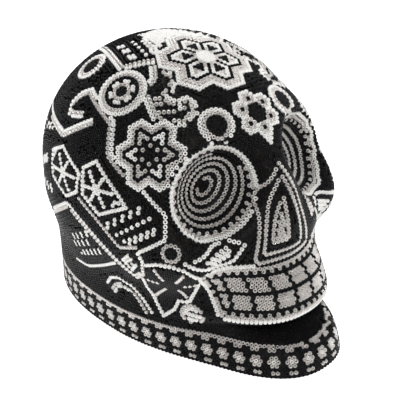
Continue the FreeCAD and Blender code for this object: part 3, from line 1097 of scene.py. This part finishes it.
# Glass: colour, roughness, metallic, specular level, bump. Coats: dark and light tone, noise
# scale, roughness, specular level.
MATERIALS = {
    BLACK: glass_material("black_glass", (0.0015, 0.0015, 0.002), 0.18, 0.0, 0.22, 0.15),
    WHITE: glass_material("white_glass", (0.72, 0.71, 0.69), 0.28, 0.0, 0.50, 0.1),
    SILVER: glass_material("silver_glass", (0.60, 0.57, 0.55), 0.30, 0.80, 0.50, 0.10),
    "beeswax": plain_material("beeswax", (0.0035, 0.0025, 0.002), (0.008, 0.0055, 0.004),
                              300.0, 0.55, 0.1),
    "papier_mache": plain_material("papier_mache", (0.42, 0.36, 0.28), (0.62, 0.55, 0.45),
                                   120.0, 0.9, 0.3),
}


# ---- build --------------------------------------------------------------------------------------

lay_motifs()
for closest, rounds in GROWTH:
    grow(closest)
    relax(rounds)
smooth_normals()
print("all beads", len(beads.places))


def nearest_nodes():
    """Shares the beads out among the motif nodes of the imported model."""
    trees = {}
    names = [entry["node"] for entry in frame["record"]["subparts"]
             if entry["node"].endswith("_beads")]
    for name in names:
        mesh = bpy.data.objects[name].data
        trees[name] = (BVHTree.FromPolygons([v.co.copy() for v in mesh.vertices],
                                            [tuple(p.vertices) for p in mesh.polygons]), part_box(name))
    shares = {name: [] for name in names}
    for number, place in enumerate(beads.places):
        middle = place + beads.normals[number] * (0.5 * BEAD_HEIGHT)
        best, nearest = None, 1.0
        for name, (tree, (low, high)) in trees.items():
            if any(not low[i] - BOX_MARGIN <= middle[i] <= high[i] + BOX_MARGIN for i in range(3)):
                continue
            found = tree.find_nearest(middle)
            side = (middle - found[0]).dot(found[1])
            apart = found[3] if side > 0.0 else -found[3]
            if apart < nearest:
                best, nearest = name, apart
        shares[best or "face_ground_beads"].append(number)
    return shares


for node, numbers in nearest_nodes().items():
    made = []
    for colour in (BLACK, WHITE, SILVER):
        chosen = [n for n in numbers if beads.colours[n] == colour]
        for part, start in enumerate(range(0, len(chosen), BEADS_PER_MESH)):
            title = node.replace("_beads", "") + "_" + colour + ("_%d" % (part + 1) if part else "")
            made.append(build_piece(title, chosen[start:start + BEADS_PER_MESH], colour))
    for piece in made:
        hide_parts(node)

for node, look in (("beeswax_coat", "beeswax"), ("papier_mache_front_half", "papier_mache"),
                   ("papier_mache_back_half", "papier_mache"), ("paper_seam_strip", "papier_mache")):
    bpy.data.objects[node].data.materials.clear()
    bpy.data.objects[node].data.materials.append(MATERIALS[look])


# ---- floor, light and camera --------------------------------------------------------------------

FLOOR_SIZE = 3.0
FLOOR_COLOUR = (0.95, 0.95, 0.95, 1.0)
FLOOR_ROUGHNESS = 0.9
FLOOR_GLOW = 0.75
PLAIN_WHITE = (1.0, 1.0, 1.0, 1.0)
SKY_STRENGTH = 0.10
# Place, watts and width of each lamp.
LAMPS = (("key", (-0.55, -0.55, 0.75), 7.5, 0.30), ("fill", (0.8, -0.6, 0.6), 3.5, 0.35),
         ("top", (0.0, 0.2, 1.1), 7.5, 0.4))
LAMPS_AIM = (0.0, 0.0, 0.06)
VIEW = (-42.0, 27.5, -2.0)      # azimuth, elevation and roll of the camera, in degrees
VIEW_TARGET = (-0.0016, -0.0078, 0.0582)
VIEW_DISTANCE = 0.425
SENSOR = 36.0                   # millimetres
FOCAL_SHARE = 882.0 / 400.0     # focal length as a share of the picture's width


def studio():
    """A pale floor, an even sky and three soft lamps."""
    size = FLOOR_SIZE
    mesh = bpy.data.meshes.new("floor")
    mesh.from_pydata([(-size, -size, 0), (size, -size, 0), (size, size, 0), (-size, size, 0)], [],
                     [(0, 1, 2, 3)])
    floor = bpy.data.objects.new("floor", mesh)
    bpy.context.scene.collection.objects.link(floor)
    material = bpy.data.materials.new("floor_white")
    material.use_nodes = True
    shader = material.node_tree.nodes["Principled BSDF"]
    shader.inputs["Base Color"].default_value = FLOOR_COLOUR
    shader.inputs["Roughness"].default_value = FLOOR_ROUGHNESS
    shader.inputs["Emission Color"].default_value = PLAIN_WHITE
    shader.inputs["Emission Strength"].default_value = FLOOR_GLOW
    mesh.materials.append(material)
    world = bpy.data.worlds.new("studio")
    bpy.context.scene.world = world
    world.use_nodes = True
    background = world.node_tree.nodes["Background"]
    background.inputs["Color"].default_value = PLAIN_WHITE
    background.inputs["Strength"].default_value = SKY_STRENGTH
    for name, spot, power, width in LAMPS:
        lamp = bpy.data.lights.new(name, "AREA")
        lamp.energy = power
        lamp.size = width
        light = bpy.data.objects.new(name, lamp)
        light.location = spot
        aim = Vector(LAMPS_AIM) - Vector(spot)
        light.rotation_euler = aim.to_track_quat("-Z", "Y").to_euler()
        bpy.context.scene.collection.objects.link(light)


def camera():
    """The photograph's view."""
    azimuth, elevation, roll = (math.radians(angle) for angle in VIEW)
    back = Vector((math.sin(azimuth) * math.cos(elevation), -math.cos(azimuth) * math.cos(elevation),
                   math.sin(elevation)))
    right = Vector((math.cos(azimuth), math.sin(azimuth), 0.0))
    up = back.cross(right)
    rolled_right = right * math.cos(roll) + up * math.sin(roll)
    rolled_up = up * math.cos(roll) - right * math.sin(roll)
    data = bpy.data.cameras.new("camera")
    data.sensor_width = SENSOR
    data.lens = SENSOR * FOCAL_SHARE
    data.clip_start = 0.01
    eye = bpy.data.objects.new("camera", data)
    turn = Matrix((rolled_right, rolled_up, back)).transposed().to_4x4()
    eye.matrix_world = Matrix.Translation(Vector(VIEW_TARGET) + back * VIEW_DISTANCE) @ turn
    bpy.context.scene.collection.objects.link(eye)
    bpy.context.scene.camera = eye


studio()
camera()
bpy.context.scene.view_settings.view_transform = "Standard"
